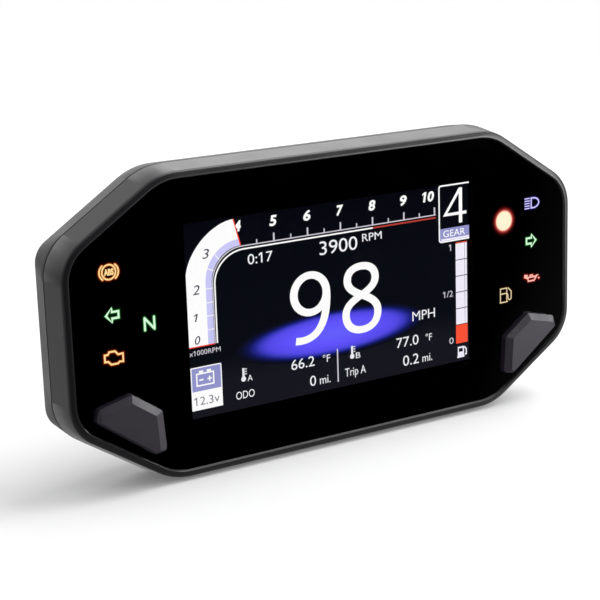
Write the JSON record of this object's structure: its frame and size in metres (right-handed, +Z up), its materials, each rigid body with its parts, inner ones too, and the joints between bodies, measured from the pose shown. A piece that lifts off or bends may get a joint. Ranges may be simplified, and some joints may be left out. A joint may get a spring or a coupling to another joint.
{
  "type": "instrument cluster",
  "caption": "Sealed eight-sided motorcycle dashboard with a lit colour display, warning lamps behind a black window and two faceted push buttons.",
  "frame": {"origin": "centre of the four rear mounting inserts, on the plane of their bosses", "axes": "+X to the rider's right, +Y from the rider into the object, out of its rear, +Z up"},
  "size_m": [0.1706, 0.0299, 0.0858],
  "materials": {
    "bezel_plastic": "satin moulded plastic with a fine grain",
    "housing_plastic": "satin moulded plastic with a fine grain",
    "lens_clear": "clear hard-coated window",
    "mask_ink": "opaque black print",
    "foam_black": "soft foam",
    "rubber_black": "matt silicone",
    "display_glass": "lit colour display",
    "tin_steel": "tinned sheet",
    "white_plastic": "white reflector plastic",
    "flex_film": "amber film with copper tracks",
    "socket_plastic": "glass-filled nylon",
    "carrier_plastic": "matt moulded plastic",
    "pipe_clear": "frosted light guide",
    "led_white": "lamp chip",
    "board_green": "solder mask",
    "screw_steel": "zinc plated",
    "chip_black": "moulded package",
    "can_aluminium": "aluminium can",
    "brass": "turned brass",
    "pin_metal": "gold flashed pin",
    "membrane_white": "breathable membrane",
    "button_plastic": "satin plastic with fine grain"
  },
  "bodies": {
    "housing": {"board_screws": "screw_steel", "button_seal_left": "rubber_black", "button_seal_right": "rubber_black", "capacitors": "can_aluminium", "connector_pins": "pin_metal", "connector_seal": "rubber_black", "connector_shell": "socket_plastic", "cover_lens": "lens_clear", "front_bezel": "bezel_plastic", "housing_screws": "screw_steel", "inner_carrier": "carrier_plastic", "lamp_leds_left": "led_white", "lamp_leds_right": "led_white", "lcd_backlight": "white_plastic", "lcd_cell": "display_glass", "lcd_flex": "flex_film", "lcd_frame": "tin_steel", "lcd_gasket": "foam_black", "lcd_socket": "socket_plastic", "lens_mask": "mask_ink", "lens_tape": "foam_black", "light_pipes_left": "pipe_clear", "light_pipes_right": "pipe_clear", "main_board": "board_green", "memory_chips": "chip_black", "mount_inserts": "brass", "perimeter_seal": "rubber_black", "power_inductor": "chip_black", "processor": "chip_black", "rear_housing": "housing_plastic", "regulators": "chip_black", "tact_switch_left": "socket_plastic", "tact_switch_right": "socket_plastic", "vent_cap": "socket_plastic", "vent_membrane": "membrane_white"},
    "button_left": {"button_cap_left": "button_plastic", "switch_plunger_left": "white_plastic"},
    "button_right": {"button_cap_right": "button_plastic", "switch_plunger_right": "white_plastic"}
  },
  "joints": [
    {"name": "left_button_press", "type": "slide", "parent": "housing", "child": "button_left", "axis": [0, 1, 0], "range_m": [0, 0.001], "stiffness_N_per_m": 1500, "springref_m": -0.0006},
    {"name": "right_button_press", "type": "slide", "parent": "housing", "child": "button_right", "axis": [0, 1, 0], "range_m": [0, 0.001], "stiffness_N_per_m": 1500, "springref_m": -0.0006}
  ]
}
